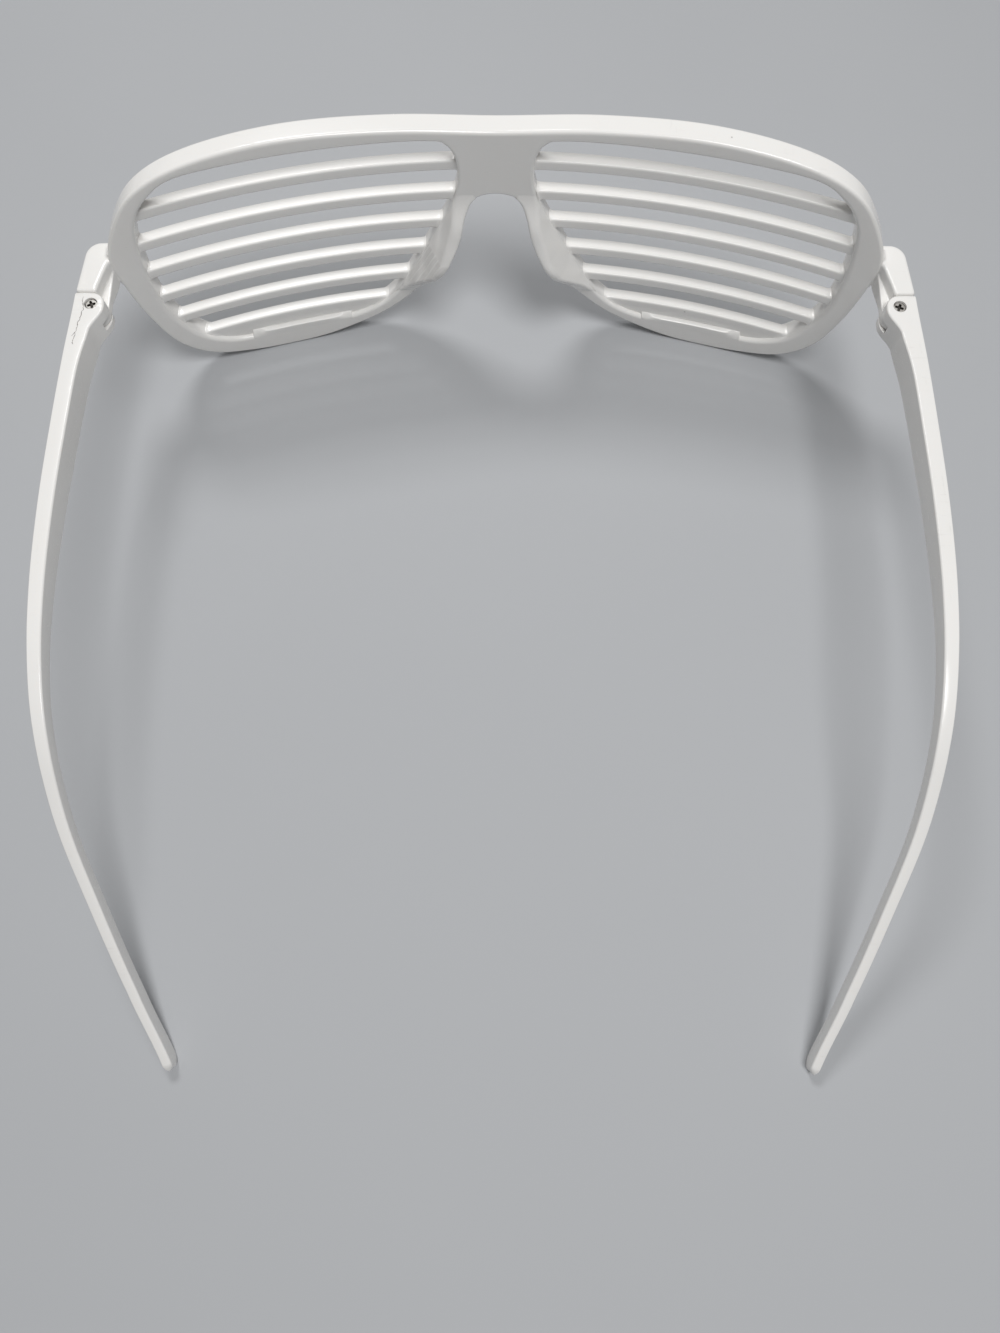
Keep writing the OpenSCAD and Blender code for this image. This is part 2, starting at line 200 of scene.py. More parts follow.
# Its outer side leans in towards its front corner
LUG_FRONT_X = OUTER_X - 0.8
CORNER_R = 3
LUG_EDGE = 0.5
LUG_END = SEAM_Y - 0.08
# Lean of its inner side ahead of the seam: how far inwards, and where it is reached
LUG_LEAN = 0.15
LUG_LEAN_Y = SEAM_Y - 1.2
# Its inner corner with the rim: x from the root, and y from the rim's rear face
LUG_FILLET = [(0.85, 2.7), (0.5, 1.4), (0.25, 0.5), (0, -0.1), (-0.5, -0.5),
              (-LUG_BITE, -0.8)]
# The corner over it: its radius, width and height, how far over the block its radius is
# struck from, and how far it stays behind the front and ahead of the rim's rear face
UPPER_R = 1.05
UPPER_W = 1.2
UPPER_H = 1.2
UPPER_RISE = 1
UPPER_INSET = (0.9, 0.9)
# The corner under it: the same, and how far out its radius is struck from
LOWER_R = 1.5
LOWER_W = 1.9
LOWER_H = 1.8
LOWER_OUT = 1.7
LOWER_INSET = (0.7, 0.95)
# How deep both are rooted in the rim and in the block
CORNER_ROOT = 2
CORNER_BITE = 1
# The rim's stretch that an end piece grows from: its width, its two ends along the
# outline, its stations, its rounded edge, and the hair that it stays under the surface
RIM_BITE = 3
BITE_FROM = 5.5
BITE_RUN = 2.5
BITE_STATIONS = 24
BITE_EDGE = 0.9
BITE_SINK = 0.12
# Grain and smoothing of the moulding that the end piece's blocks run into
MELT_GRAIN = 0.12
MELT_ROUNDS = 9
DEPTH = 156.8
MID_Y = DEPTH / 2 - FRONT_T
TIP_Y = DEPTH - FRONT_T
TEMPLE_START = SEAM_Y + SEAM_GAP
TEMPLE_RUN = TIP_Y - TEMPLE_START
TEMPLE_T = 2.7
DROP = radians(30)
BEND_R = 50
TIP_R = 2.2
# How far the bar runs inwards at its tip, and over what length its sections turn to it
TIP_TURN = radians(20)
TIP_TURN_RUN = 25
# Length over which the tip is rounded in plan, and the share of it that is cut blunt
TIP_ROUND = 1
TIP_BLUNT = 0.08
# Stations round the tip, as an angle in degrees
TIP_LEANS = [12, 25, 38, 50, 62, 73, 82, 87]
# Corner radii of the bar's section, and the most of its width that one may take
OUTER_ROUND = 0.32
INNER_ROUND = 0.55
ROUND_SHARE = 0.46
# Stations near the seam with the inset that rounds the bar's end, then along the hinge
END_STOPS = [(0, 0.3), (0.04, 0.17), (0.12, 0.07), (0.25, 0.02), (0.4, 0)]
HINGE_STOPS = [0.7, 1.05, 1.45, 1.9, 2.4, 2.9, 3.4, 3.9, 4.5, 5.1, 5.7, 6.4, 7.2, 8, 9,
               10, 11, 12, 13.2, 14.5]
BAR_START = 16
BAR_STATIONS = 62
# The bar narrows from the knuckle from this far behind the screw's axis to this share
# of its length, partly at an even rate and partly with a soft start and end
WAIST_START = 0.8
WAIST_END = 0.055
WAIST_EVEN = 0.35
# How far the slot's cutter reaches past the bar's sides
SLOT_PAST = 4
# The bar's outer side in plan, its thickness as a share of the thickness above, both
# against the share of its length, and its height against the distance from the seam
TEMPLE_BOW = [(0, 0), (0.1, 0.74), (0.2, 1.18), (0.3, 1.38), (0.4, 1.02), (0.5, -0.1),
              (0.6, -1.4), (0.7, -3.5), (0.8, -7.7), (0.9, -12.5), (1.02, -18.3)]
TEMPLE_THICK = [(0, 1.5), (0.06, 1.38), (0.075, 1.3), (0.09, 1.19), (0.12, 1.09),
                (0.18, 1.07), (0.37, 0.985), (0.5, 0.89), (0.62, 0.83), (0.85, 0.74),
                (1.02, 0.68)]
THICK_SOFT = 0.02
TEMPLE_HEIGHT = [(0, 5.9), (7, 5.9), (11, 6.3), (16, 6.35), (24, 6), (34, 5.8),
                 (44, 5.3), (54, 4.7), (64, 4), (75, 3.42), (86, 3.2)]
HEIGHT_SOFT = 1.6
# Edges of the finished pieces that turn by more degrees than this stay sharp
MOULDING_SHARP = 60
TEMPLE_SHARP = 50
SCREW_SHARP = 40
# Hairline crack on the left temple's top: x and y from the screw's axis along each run
CRACK_RUNS = [[(1.6, -1.35), (1.16, 0.43), (1.41, 2.33), (1.69, 3.96), (1.92, 5.84),
               (2.22, 7.19), (2.2, 8.25)],
              [(1.92, 5.84), (2.74, 6.65)]]


def seat(x, y, z):
    """A point of the drawing in metres, in the shared frame."""
    return Vector((x, y - MID_Y, z)) * MM


def curve_at(points, s, closed=False):
    """Point at s on the smooth curve through the points, s counted in points."""
    n = len(points)
    i = floor(s)
    if not closed:
        i = max(0, min(i, n - 2))
    t = s - i
    if closed:
        a, b, c, d = (points[(i + k) % n] for k in (-1, 0, 1, 2))
    else:
        a, b, c, d = (points[max(0, min(i + k, n - 1))] for k in (-1, 0, 1, 2))
    return tuple(0.5 * (2 * q + (r - p) * t + (2 * p - 5 * q + 4 * r - u) * t * t
                        + (3 * q - p - 3 * r + u) * t ** 3)
                 for p, q, r, u in zip(a, b, c, d))


def lookup(x, table):
    """Value between the rows of a table of pairs."""
    for (x0, v0), (x1, v1) in zip(table, table[1:]):
        if x <= x1:
            return v0 + (v1 - v0) * max(0, x - x0) / (x1 - x0)
    return table[-1][1]


def eased(x, table, width):
    """The table's value with its corners rounded over a width."""
    return sum(lookup(x + k * width / 4, table) for k in range(-2, 3)) / 5


def sized(points):
    """Shares of half the front's width and of its height, in millimetres."""
    return [(x * HALF_W, z * FRONT_H) for x, z in points]


OUTER_CURVE = sized(OUTLINE) + [(-x, z) for x, z in reversed(sized(OUTLINE)[1:-1])]
OPENING_CURVE = sized(OPENING)
LAST = len(OUTLINE) - 1
OPENING_RING = [curve_at(OPENING_CURVE, k / FINE_STEPS, True)
                for k in range(FINE_STEPS * len(OPENING))]
NOSE_LINE = [curve_at(OUTER_CURVE, NOSE_START + k / FINE_STEPS, True)
             for k in range(FINE_STEPS * (LAST - NOSE_START) + 1)]
FACING_TABLE = list(enumerate(FACING))


def crossings(ring, level, axis):
    """Where a closed ring of points crosses a level of x (axis 0) or z (axis 1)."""
    found = []
    for p, q in zip(ring, ring[1:] + ring[:1]):
        if (p[axis] - level) * (q[axis] - level) < 0:
            t = (level - p[axis]) / (q[axis] - p[axis])
            found.append(p[1 - axis] + t * (q[1 - axis] - p[1 - axis]))
    return sorted(found)


def walls(z):
    """The lens opening's nose wall and outer wall at height z."""
    found = crossings(OPENING_RING, z, 1)
    return found[0], found[-1]


def nose_edge(z):
    """The front's own edge towards the nose at height z."""
    return lookup(-z, sorted((-q[1], q[0]) for q in NOSE_LINE))


def arc(x, y, radius, start, end, steps):
    """Points along an arc, with its angles in degrees."""
    return [(x + radius * cos(radians(start + (end - start) * k / steps)),
             y + radius * sin(radians(start + (end - start) * k / steps)))
            for k in range(steps + 1)]


def screw_circle(radius, sides=48):
    """Circle about the screw's axis, in plan."""
    return arc(HINGE_X, HINGE_Y, radius, 0, 360 - 360 / sides, sides - 1)


# ---------------------------------------------------------------- modelling by hand

def only(*pieces):
    """Selects these pieces and nothing else, and makes the first one active."""
    bpy.ops.object.select_all(action="DESELECT")
    for piece in pieces:
        piece.select_set(True)
    bpy.context.view_layer.objects.active = pieces[0]


def named(name):
    """Names the piece that was just made, and its mesh."""
    piece = bpy.context.object
    piece.name = name
    piece.data.name = name
    return piece


def pick(piece, test):
    """Selects the faces whose middle passes the test, in edit mode."""
    bpy.ops.mesh.select_mode(type="FACE")
    bpy.ops.mesh.select_all(action="DESELECT")
    shape = bmesh.from_edit_mesh(piece.data)
    for face in shape.faces:
        face.select_set(test(face.calc_center_median()))
    bmesh.update_edit_mesh(piece.data)


def weld():
    """Merges vertices that are as good as one, in edit mode."""
    bpy.ops.mesh.select_all(action="SELECT")
    bpy.ops.mesh.remove_doubles(threshold=WELD)


def outwards():
    """Welds the piece and turns its faces outwards, in edit mode."""
    weld()
    bpy.ops.mesh.normals_make_consistent(inside=False)


def sheet(name, across, along, place):
    """A grid whose vertex in column i and row k is moved to place(i, k)."""
    bpy.ops.object.select_all(action="DESELECT")
    bpy.ops.mesh.primitive_grid_add(x_subdivisions=across, y_subdivisions=along, size=1)
    piece = named(name)
    for vertex in piece.data.vertices:
        i = round((vertex.co.x + 0.5) * across)
        k = round((vertex.co.y + 0.5) * along)
        vertex.co = seat(*place(i, k))
    return piece


def tube(name, stations, around, place):
    """A grid rolled into a closed bar, with both of its ends filled."""
    piece = sheet(name, stations, around, lambda i, k: place(i, k % around))
    only(piece)
    bpy.ops.object.mode_set(mode="EDIT")
    weld()
    bpy.ops.mesh.fill_holes(sides=0)
    outwards()
    bpy.ops.object.mode_set(mode="OBJECT")
    return piece


def solid(name, corners, by):
    """A flat ring of corners, raised into a solid."""
    bpy.ops.object.select_all(action="DESELECT")
    bpy.ops.mesh.primitive_circle_add(vertices=len(corners), radius=1, fill_type="NGON")
    piece = named(name)
    for vertex, corner in zip(piece.data.vertices, corners):
        vertex.co = seat(*corner)
    raise_faces(piece, by)
    return piece


def prism(name, plan, foot, top):
    """A plan, as a ring of x and y, raised from foot to top."""
    return solid(name, [(x, y, foot) for x, y in plan], (0, 0, top - foot))


def slab(name, shape, front, rear):
    """A front view, as a ring of x and z, carried from front to rear."""
    return solid(name, [(x, front, z) for x, z in shape], (0, rear - front, 0))


def side_slab(name, shape, inner, outer):
    """A side view, as a ring of y and z, carried across from inner to outer x."""
    return solid(name, [(inner, y, z) for y, z in shape], (outer - inner, 0, 0))


def raise_faces(piece, by):
    """Extrudes a flat piece into a solid."""
    only(piece)
    bpy.ops.object.mode_set(mode="EDIT")
    bpy.ops.mesh.select_all(action="SELECT")
    bpy.ops.mesh.extrude_region_move(
        TRANSFORM_OT_translate={"value": [d * MM for d in by]})
    outwards()
    bpy.ops.object.mode_set(mode="OBJECT")


def finish_with(piece, kind, **settings):
    """Adds a modifier, sets it and applies it."""
    only(piece)
    modifier = piece.modifiers.new(kind.title(), kind)
    for key, value in settings.items():
        setattr(modifier, key, value)
    bpy.ops.object.modifier_apply(modifier=modifier.name)


def round_edges(piece, width, segments=4, angle=40):
    """Bevels the edges that turn by more than the angle."""
    finish_with(piece, "BEVEL", width=width * MM, segments=segments,
                limit_method="ANGLE", angle_limit=radians(angle),
                use_clamp_overlap=False)


def cut(piece, *cutters):
    """Takes the cutters' shapes out of the piece, and the cutters out of the scene."""
    for cutter in cutters:
        finish_with(piece, "BOOLEAN", operation="DIFFERENCE", object=cutter,
                    solver="EXACT")
        bpy.data.objects.remove(cutter)


def join(piece, *others):
    """Makes the others part of the piece."""
    only(piece, *others)
    bpy.ops.object.join()


def melt(piece, grain, rounds):
    """Runs overlapping blocks into one moulding with soft inner corners."""
    finish_with(piece, "REMESH", mode="VOXEL", voxel_size=grain * MM,
                use_smooth_shade=True)
    finish_with(piece, "SMOOTH", factor=0.5, iterations=rounds)


def smooth(piece, angle):
    """Smooth shading, except over edges that turn by more than the angle."""
    only(piece)
    bpy.ops.object.shade_smooth_by_angle(angle=radians(angle))
    finish_with(piece, "WEIGHTED_NORMAL", keep_sharp=True)


def mirrored(piece, name):
    """The same piece on the wearer's right, with its own mesh."""
    only(piece)
    bpy.ops.object.duplicate()
    twin = named(name)
    for vertex in twin.data.vertices:
        vertex.co.x = -vertex.co.x
    bpy.ops.object.mode_set(mode="EDIT")
    bpy.ops.mesh.select_all(action="SELECT")
    bpy.ops.mesh.flip_normals()
    bpy.ops.object.mode_set(mode="OBJECT")
    return twin


def wrapped(piece):
    """Bends a flat piece back along the wrap."""
    for vertex in piece.data.vertices:
        vertex.co.y += rim_back(vertex.co.x / MM) * MM
    return piece


def rounded_box_ring(width, height, radius, steps=4):
    """Ring of a rounded rectangle about the origin, with a point midway on each side."""
    ring = []
    w, h = width / 2 - radius, height / 2 - radius
    for n, (cx, cy) in enumerate([(w, h), (-w, h), (-w, -h), (w, -h)]):
        for k in range(steps + 1):
            a = (n + k / steps) * pi / 2
            ring.append((cx + radius * cos(a), cy + radius * sin(a)))
        ring.append([(0, height / 2), (-width / 2, 0), (0, -height / 2),
                     (width / 2, 0)][n])
    return ring


# --------------------------------------------------------------------- the pieces

def front_frame():
    """Brow, bridge and both rims as one moulding."""
    outer = [(k / OUTLINE_STEPS, curve_at(OUTER_CURVE, k / OUTLINE_STEPS, True))
             for k in range(OUTLINE_STEPS * LAST + 1)]
    brow, arch = OUTLINE[0][1], OUTLINE[-1][1]
    for k in range(1, BRIDGE_STEPS + 1):
        share = k / BRIDGE_STEPS
        outer.append((LAST + share, (0, (arch + (brow - arch) * share) * FRONT_H)))

    def place_ring(i, k):
        s, (x, z) = outer[i]
        if k == 0:
            x, z = curve_at(OPENING_CURVE, lookup(s, FACING_TABLE), True)
        return x, -FRONT_T, z

    piece = sheet("front_frame", len(outer) - 1, 1, place_ring)
    only(piece)
    bpy.ops.object.mode_set(mode="EDIT")
    # The grid's first and last columns meet, over the bridge
    weld()
    bridge = seat(BRIDGE_HALF, 0, BRIDGE_FOOT)
    pick(piece, lambda middle: middle.x < bridge.x and middle.z > bridge.z)
    bpy.ops.mesh.dissolve_faces()
    bpy.ops.object.mode_set(mode="OBJECT")
    raise_faces(piece, (0, FRONT_T, 0))
    # The wall in the middle goes, and the other half takes its place
    bpy.ops.object.mode_set(mode="EDIT")
    pick(piece, lambda middle: abs(middle.x) < WELD / 2)
    bpy.ops.mesh.delete(type="FACE")
    bpy.ops.object.mode_set(mode="OBJECT")
    finish_with(piece, "MIRROR", use_axis=(True, False, False), use_clip=True,
                merge_threshold=MIRROR_WELD)
    round_edges(piece, FRONT_EDGE)
    # Upright cuts, so that the broad flat faces follow the wrap
    bpy.ops.object.mode_set(mode="EDIT")
    for n in range(STRIPS):
        x = (n + 0.5 - STRIPS / 2) * 2 * HALF_W / STRIPS
        bpy.ops.mesh.select_all(action="SELECT")
        bpy.ops.mesh.bisect(plane_co=(x * MM, 0, 0), plane_no=(1, 0, 0))
    bpy.ops.object.mode_set(mode="OBJECT")
    return wrapped(piece)


def slat(number):
    """One slat, with its ends flared where they run into the rim."""
    top = (FIRST_SLAT - (number - 1) * SLAT_PITCH) * FRONT_H
    middle = top - SLAT_H / 2
    ring = rounded_box_ring(SLAT_DEPTH, SLAT_H, SLAT_EDGE)
    ends = len(SLAT_FLARE)
    stations = SLAT_STATIONS + 2 * ends

    def place(i, k):
        y, z = ring[k]
        from_end = min(i, stations - i)
        gap, grow = SLAT_FLARE[min(from_end, ends - 1)]
        z = middle + z * grow
        nose, outer = walls(z)
        if from_end < ends:
            x = nose + gap if i < ends else outer - gap
        else:
            x = nose + gap
            x += (outer - nose - 2 * gap) * (i - ends + 1) / (SLAT_STATIONS + 2)
        return x, rim_back(x) - SLAT_RECESS - SLAT_DEPTH / 2 + y * grow, z

    return tube(f"shaped_left_slat_{number}", stations, len(ring), place)


def lower_web():
    """Web under the last slat, with the ledge and crescent gap below its upper edge."""
    foot = (FIRST_SLAT - (SLATS - 1) * SLAT_PITCH) * FRONT_H - SLAT_H
    gap_top = foot - GAP_SINK
    nose, outer = walls(foot)
    ledge_from, ledge_to = GAP_FROM - LEDGE_END_RUN, GAP_TO + LEDGE_END_RUN
    columns = []
    for start, end, steps in ((nose - WEB_BITE, ledge_from, 8),
                              (ledge_from, ledge_to, 24),
                              (ledge_to, outer + WEB_BITE, 6)):
        columns += [start + (end - start) * k / steps for k in range(steps)]
    columns.append(outer + WEB_BITE)

    def place(i, k):
        x = columns[i]
        low = min(crossings(OPENING_RING, x, 0)[0] - WEB_FOOT_BITE, gap_top - LEDGE_H)
        z = [low, (low + gap_top) / 2, gap_top, foot + WEB_BITE][k]
        return x, -SLAT_RECESS - SLAT_DEPTH, z

    piece = sheet("shaped_left_lower_web", len(columns) - 1, 3, place)
    raise_faces(piece, (0, SLAT_DEPTH, 0))
    corner = seat(ledge_from, -SLAT_RECESS, gap_top)
    bpy.ops.object.mode_set(mode="EDIT")
    pick(piece, lambda middle: abs(middle.y - corner.y) < CLOSE * MM
         and corner.x < middle.x < ledge_to * MM and middle.z < corner.z)
    depth = SLAT_RECESS - LEDGE_SINK
    bpy.ops.mesh.extrude_region_move(TRANSFORM_OT_translate={"value": (0, depth * MM, 0)})
    outwards()
    bpy.ops.object.mode_set(mode="OBJECT")
    # The ledge's rear edge runs in almost to a point at both ends
    for vertex in piece.data.vertices:
        x, y, z = vertex.co / MM
        if abs(z - gap_top) < CLOSE and y + MID_Y > -SLAT_RECESS / 2:
            near = min(x - GAP_FROM, GAP_TO - x) / LEDGE_TAPER
            share = max(LEDGE_END, sqrt(1 - (1 - max(0, min(1, near))) ** 2))
            vertex.co.y = seat(x, -SLAT_RECESS + depth * share, z).y
            vertex.co.z -= LEDGE_FALL * share * MM
    round_edges(piece, LEDGE_EDGE, 2, 50)
    span = GAP_TO - GAP_FROM
    gap_r = span * span / (8 * GAP_DROP) + GAP_DROP / 2
    half_turn = degrees(asin(span / 2 / gap_r))
    crescent = arc((GAP_FROM + GAP_TO) / 2, gap_top - GAP_DROP + gap_r, gap_r,
                   -90 - half_turn, -90 + half_turn, 30)
    cut(piece, slab("gap", crescent, -GAP_THROUGH, GAP_THROUGH))
    return wrapped(piece)


def softened(corners, steps=5):
    """Closed ring through corners of x, y and radius, each of them rounded."""
    ring = []
    for n, (x, y, radius) in enumerate(corners):
        ends = []
        for other in (corners[n - 1], corners[(n + 1) % len(corners)]):
            dx, dy = other[0] - x, other[1] - y
            share = radius / hypot(dx, dy)
            ends.append((x + dx * share, y + dy * share))
        for k in range(steps + 1):
            t = k / steps
            ring.append(tuple((1 - t) ** 2 * p + 2 * t * (1 - t) * c + t * t * q
                              for p, c, q in zip(ends[0], (x, y), ends[1])))
    return ring


def nose_pad():
    """Fin that grows out of the rim's rear face beside the nose."""

    def section(i):
        share = PAD_FROM + PAD_SPAN * i / PAD_ROWS
        z = PAD_FOOT + share * (PAD_TOP - PAD_FOOT)
        nose = max(nose_edge(z) + PAD_INSET, PAD_REACH)
        wall = walls(z)[0] - PAD_INSET
        stand = PAD_DEPTH * eased(share, PAD_SIDE, PAD_SIDE_SOFT)
        slim = tan(radians(PAD_DRAFT)) * max(0, stand)
        ridge = max(nose + PAD_RIDGE, wall - slim)
        edge = min(PAD_EDGE, 0.5 * (ridge - nose))
        corners = [(nose, -PAD_ROOT, PAD_ROOT_EDGE), (wall, -PAD_ROOT, PAD_ROOT_EDGE),
                   (wall, min(stand, 0) - PAD_WALL_SINK, PAD_WALL_EDGE),
                   (ridge, stand, edge), (nose, stand, edge)]
        return z, softened(corners)

    rings = [section(i) for i in range(PAD_ROWS + 1)]

    def place(i, k):
        z, ring = rings[i]
        return ring[k][0], ring[k][1], z

    return wrapped(tube("shaped_left_nose_pad", PAD_ROWS, len(rings[0][1]), place))


def rim_root():
    """The stretch of the rim that an end piece grows from, a hair under its surface."""
    ring = rounded_box_ring(RIM_BITE, FRONT_T - 2 * BITE_SINK, BITE_EDGE)

    def place(i, k):
        s = BITE_FROM + BITE_RUN * i / BITE_STATIONS
        x, z = curve_at(OUTER_CURVE, s, True)
        to_x, to_z = curve_at(OPENING_CURVE, lookup(s, FACING_TABLE), True)
        away = hypot(to_x - x, to_z - z)
        inset = RIM_BITE / 2 + BITE_SINK + ring[k][0]
        x += (to_x - x) / away * inset
        z += (to_z - z) / away * inset
        return x, rim_back(x) - FRONT_T / 2 + ring[k][1], z

    return tube("root", BITE_STATIONS, len(ring), place)


def end_piece():
    """Block that runs back from the rim's outer side, with the hinge's tongue."""
    rear = rim_back(HALF_W)
    plan = [(LUG_ROOT - LUG_BITE, LUG_Y), (LUG_ROOT, LUG_Y)]
    plan += arc(LUG_FRONT_X - CORNER_R, LUG_Y + CORNER_R, CORNER_R, -80, -6, 12)
    plan += [(OUTER_X, LUG_END), (LUG_X, LUG_END), (LUG_X - LUG_LEAN, LUG_LEAN_Y)]
    plan += [(LUG_ROOT + x, rear + y) for x, y in LUG_FILLET]
    block = prism("shaped_left_end_piece", plan, HINGE_FOOT, HINGE_TOP)
    round_edges(block, LUG_EDGE, 3)
    side, root = HINGE_X - TONGUE_R, rear - TONGUE_ROOT
    plan = [(side, root), (OUTER_X - TONGUE_INSET, root),
            (OUTER_X - TONGUE_INSET, HINGE_Y + TONGUE_R)]
    plan += arc(HINGE_X, HINGE_Y, TONGUE_R, 90, 180, 10)
    blade = prism("tongue", plan, TONGUE_FOOT, TONGUE_TOP)
    # The heel under the tongue, drawn from the side and laid across
    heel = side_slab("heel", [(root, HINGE_FOOT), (rear + HEEL_LEVEL, HINGE_FOOT),
                              (SEAM_Y - SLIDE_GAP, TONGUE_FOOT),
                              (SEAM_Y - SLIDE_GAP, TONGUE_FOOT + HEEL_H),
                              (root, TONGUE_FOOT + HEEL_H)], side, LUG_X + HEEL_BITE)
    # Rounded corners over and under the block, in front view
    inner, bite = LUG_ROOT - CORNER_ROOT, HINGE_TOP - CORNER_BITE
    view = [(inner, HINGE_TOP + UPPER_H)]
    view += arc(LUG_ROOT + UPPER_R, HINGE_TOP + UPPER_RISE, UPPER_R, 180, 270, 8)
    view += [(LUG_ROOT + UPPER_W, bite), (inner, bite)]
    upper = slab("upper corner", view, LUG_Y + UPPER_INSET[0], rear - UPPER_INSET[1])
    round_edges(upper, LUG_EDGE, 3)
    bite = HINGE_FOOT + CORNER_BITE
    view = [(inner, bite), (LUG_ROOT + LOWER_W, bite)]
    view += arc(LUG_ROOT + LOWER_OUT, HINGE_FOOT - LOWER_R, LOWER_R, 90, 180, 8)
    view += [(inner, HINGE_FOOT - LOWER_H)]
    lower = slab("lower corner", view, LUG_Y + LOWER_INSET[0], rear - LOWER_INSET[1])
    join(block, blade, heel, upper, lower, rim_root())
    melt(block, MELT_GRAIN, MELT_ROUNDS)
    return block


def temple_side():
    """Gives station(s), which is the place on the temple's top edge at s from the seam
    as y, z, slope and s, with the edge's full length and that of its straight end."""
    tip_y = TIP_Y - TIP_R + TIP_R * sin(DROP)
    tip_z = TIP_R + TIP_R * cos(DROP)
    kink = tip_y - (HINGE_TOP - tip_z) / tan(DROP)
    bend_y = kink - BEND_R * tan(DROP / 2)
    run = bend_y - TEMPLE_START
    arc_run = BEND_R * DROP
    bend_end = (bend_y + BEND_R * sin(DROP), HINGE_TOP - BEND_R * (1 - cos(DROP)))
    slope = hypot(tip_y - bend_end[0], tip_z - bend_end[1])
    full = run + arc_run + slope

    def station(s):
        if s <= run:
            return TEMPLE_START + s, HINGE_TOP, 0, s
        if s <= run + arc_run:
            a = (s - run) / BEND_R
            return bend_y + BEND_R * sin(a), HINGE_TOP - BEND_R * (1 - cos(a)), a, s
        rest = s - run - arc_run
        return (bend_end[0] + rest * cos(DROP), bend_end[1] - rest * sin(DROP), DROP, s)

    return station, full, slope


def temple_plan(y):
    """The temple's inner and outer faces in plan."""
    share = (y - TEMPLE_START) / TEMPLE_RUN
    spans = list(zip(TEMPLE_BOW, TEMPLE_BOW[1:]))
    n = next((n for n, (p, q) in enumerate(spans) if share <= q[0]), len(spans) - 1)
    t = (share - TEMPLE_BOW[n][0]) / (TEMPLE_BOW[n + 1][0] - TEMPLE_BOW[n][0])
    outer = OUTER_X + curve_at(TEMPLE_BOW, n + max(0, min(t, 1)))[1]
    if y < HINGE_Y:
        reach = KNUCKLE_R ** 2 - (HINGE_Y - y) ** 2
        return HINGE_X - sqrt(max(0, reach)), outer
    knuckle = HINGE_X - KNUCKLE_R
    inner = outer - TEMPLE_T * eased(share, TEMPLE_THICK, THICK_SOFT)
    from_y, to_y = HINGE_Y + WAIST_START, TEMPLE_START + WAIST_END * TEMPLE_RUN
    t = max(0, min(1, (y - from_y) / (to_y - from_y)))
    t = WAIST_EVEN * t + (1 - WAIST_EVEN) * t * t * (3 - 2 * t)
    return knuckle + (inner - knuckle) * t, outer


def sign(value):
    """1 or -1, as the value's sign says, and 0 where the value is as good as 0."""
    return 0 if abs(value) <= CLOSE else 1 if value > 0 else -1


def temple():
    """Bowed bar with its ears, the slot between them and the seat of the screw."""
    station, full, slope = temple_side()
    stops = END_STOPS + [(s, 0) for s in HINGE_STOPS]
    stretch = (full - BAR_START) / BAR_STATIONS
    stops += [(BAR_START + stretch * k, 0) for k in range(BAR_STATIONS + 1)]
    corners = rounded_box_ring(2, 2, 1, 5)

    def height(s):
        if s < full - slope:
            return eased(s, TEMPLE_HEIGHT, HEIGHT_SOFT)
        start = eased(full - slope, TEMPLE_HEIGHT, HEIGHT_SOFT)
        return start + (2 * TIP_R - start) * (s - full + slope) / slope

    def place(i, k):
        a, b = corners[k]
        if i < len(stops):
            s, inset = stops[i]
            y, z, angle, s = station(s)
            tall, shrink = height(s), 1
        else:
            lean = radians(TIP_LEANS[i - len(stops)])
            y, z, angle, s = station(full)
            y += TIP_R * sin(lean) * cos(angle)
            z -= TIP_R * sin(lean) * sin(angle)
            tall, inset, shrink = 2 * TIP_R, 0, cos(lean)
        inner, outer = temple_plan(y)
        wide = outer - inner
        # Corner radius of the bar's section, crisper on the outer side, and held to
        # what the section has room for
        radius = min(OUTER_ROUND if a > 0 else INNER_ROUND, ROUND_SHARE * wide)
        x_off = a * radius + (wide / 2 - inset - radius) * sign(a)
        h_off = (b * radius + (tall / 2 - inset - radius) * sign(b)) * shrink
        drop = tall / 2 - h_off
        y -= drop * sin(angle)
        z -= drop * cos(angle)
        # Sections turn square to the bar's own run as they near the tip
        askew = x_off * tan(TIP_TURN) * max(0, min(1, 1 - (full - s) / TIP_TURN_RUN))
        from_end = max(TIP_BLUNT, (TIP_Y - y) / TIP_ROUND)
        if from_end < 1:
            x_off *= sqrt(1 - (1 - from_end) ** 2)
        y += askew
        z -= askew * tan(angle)
        return sum(temple_plan(y)) / 2 + x_off, y, z

    stations = len(stops) + len(TIP_LEANS) - 1
    piece = tube("shaped_left_temple", stations, len(corners), place)
    near, far = TEMPLE_START - PAST, HINGE_Y + KNUCKLE_R + SLOT_GAP
    left, right = HALF_W - SLOT_PAST, OUTER_X + SLOT_PAST
    slot = prism("slot", [(left, near), (right, near), (right, far), (left, far)],
                 TONGUE_FOOT - SLIDE_GAP, TONGUE_TOP + SLIDE_GAP)
    bore = prism("bore", screw_circle(SHANK_R), HINGE_FOOT - PAST, HINGE_TOP + PAST)
    sink = prism("sink", screw_circle(HEAD_R + SEAT_GAP),
                 HEAD_Z - HEAD_T, HINGE_TOP + PAST)
    cut(piece, slot, bore, sink)
    return piece


